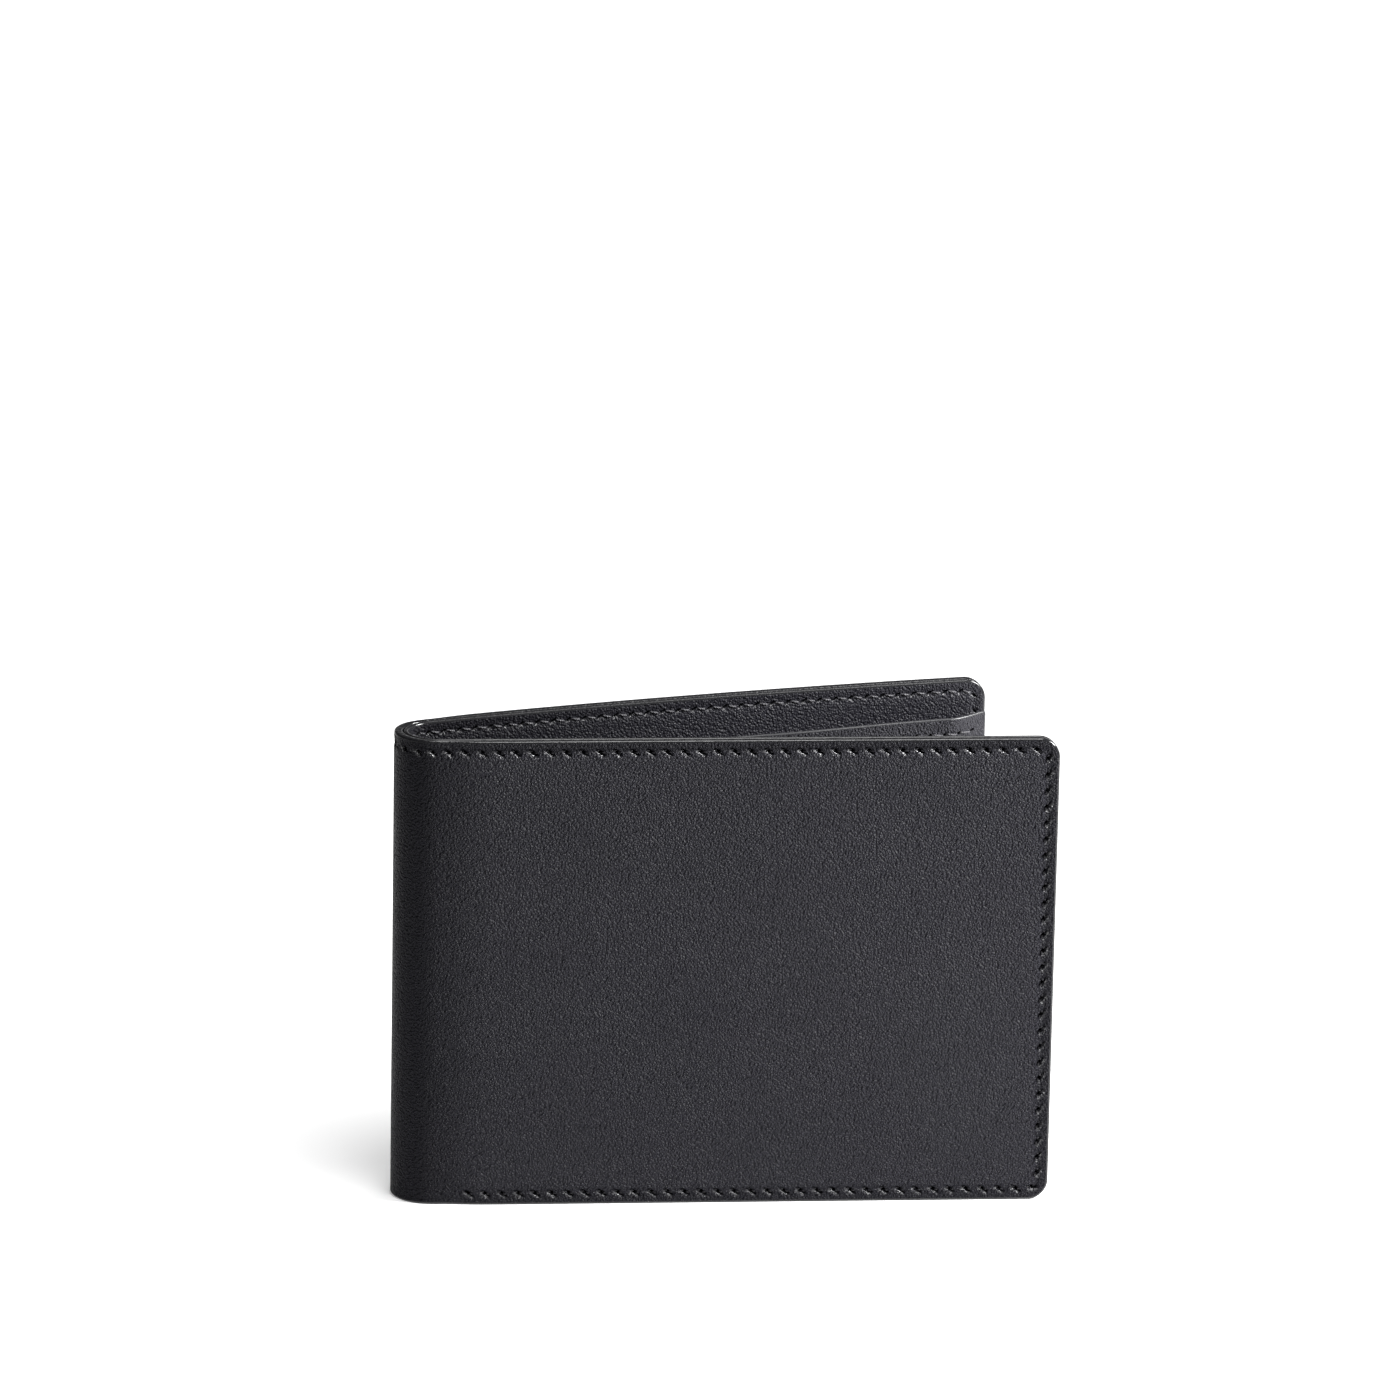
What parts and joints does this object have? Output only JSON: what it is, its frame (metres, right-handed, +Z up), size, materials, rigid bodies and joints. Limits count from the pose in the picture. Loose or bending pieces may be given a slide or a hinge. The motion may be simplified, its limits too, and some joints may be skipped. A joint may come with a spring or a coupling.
{
  "type": "bifold wallet",
  "caption": "Slim leather bifold wallet standing partly open on its long edge, with a stitched rim, a gaping note compartment and stepped card slots.",
  "frame": {"origin": "centre of the footprint, at the level of the long edge the wallet stands on", "axes": "+X from the fold to the free edges, +Y from the front half to the rear half, +Z up along the fold"},
  "size_m": [0.112, 0.0392, 0.082],
  "materials": {
    "outer_leather": "black smooth calf, satin, fine grain",
    "lining_leather": "black thin leather, satin-matte",
    "wall_leather": "black thin leather with a polished painted edge",
    "slot_leather": "black thin leather, satin",
    "pocket_fabric": "black woven lining fabric, matte",
    "thread": "black waxed thread"
  },
  "bodies": {
    "front_half": {"front_outer_leather": "outer_leather", "front_lining": "lining_leather", "front_bill_wall": "wall_leather", "front_pocket_backing": "pocket_fabric", "front_card_slot_top": "slot_leather", "front_card_slot_middle": "slot_leather", "front_card_slot_bottom": "slot_leather", "front_edge_thread": "thread", "front_lining_thread": "thread", "front_hem_thread": "thread", "front_pocket_thread": "thread"},
    "spine_1": {"spine_outer_leather_1": "outer_leather", "spine_lining_1": "lining_leather", "spine_bill_wall_1": "wall_leather", "spine_edge_thread_1": "thread", "spine_lining_thread_1": "thread"},
    "spine_2": {"spine_outer_leather_2": "outer_leather", "spine_lining_2": "lining_leather", "spine_bill_wall_2": "wall_leather", "spine_edge_thread_2": "thread", "spine_lining_thread_2": "thread"},
    "spine_3": {"spine_outer_leather_3": "outer_leather", "spine_lining_3": "lining_leather", "spine_bill_wall_3": "wall_leather", "spine_edge_thread_3": "thread", "spine_lining_thread_3": "thread"},
    "spine_4": {"spine_outer_leather_4": "outer_leather", "spine_lining_4": "lining_leather", "spine_bill_wall_4": "wall_leather", "spine_edge_thread_4": "thread", "spine_lining_thread_4": "thread"},
    "spine_5": {"spine_outer_leather_5": "outer_leather", "spine_lining_5": "lining_leather", "spine_bill_wall_5": "wall_leather", "spine_edge_thread_5": "thread", "spine_lining_thread_5": "thread"},
    "rear_half": {"rear_outer_leather": "outer_leather", "rear_lining": "lining_leather", "rear_bill_wall": "wall_leather", "rear_pocket_backing": "pocket_fabric", "rear_card_slot_top": "slot_leather", "rear_card_slot_middle": "slot_leather", "rear_card_slot_bottom": "slot_leather", "rear_edge_thread": "thread", "rear_lining_thread": "thread", "rear_hem_thread": "thread", "rear_pocket_thread": "thread"}
  },
  "joints": [
    {"name": "fold_1", "type": "hinge", "parent": "front_half", "child": "spine_1", "pos_m": [-0.04992, -0.01836, 0.041], "axis": [0, 0, 1], "range_deg": [-2.33, 27]},
    {"name": "fold_2", "type": "hinge", "parent": "spine_1", "child": "spine_2", "pos_m": [-0.05264, -0.01697, 0.041], "axis": [0, 0, 1], "range_deg": [-2.33, 27]},
    {"name": "fold_3", "type": "hinge", "parent": "spine_2", "child": "spine_3", "pos_m": [-0.05443, -0.01451, 0.041], "axis": [0, 0, 1], "range_deg": [-2.33, 27]},
    {"name": "fold_4", "type": "hinge", "parent": "spine_3", "child": "spine_4", "pos_m": [-0.05491, -0.0115, 0.041], "axis": [0, 0, 1], "range_deg": [-2.33, 27]},
    {"name": "fold_5", "type": "hinge", "parent": "spine_4", "child": "spine_5", "pos_m": [-0.05397, -0.0086, 0.041], "axis": [0, 0, 1], "range_deg": [-2.33, 27]},
    {"name": "fold_6", "type": "hinge", "parent": "spine_5", "child": "rear_half", "pos_m": [-0.05181, -0.00644, 0.041], "axis": [0, 0, 1], "range_deg": [-2.33, 27]}
  ]
}
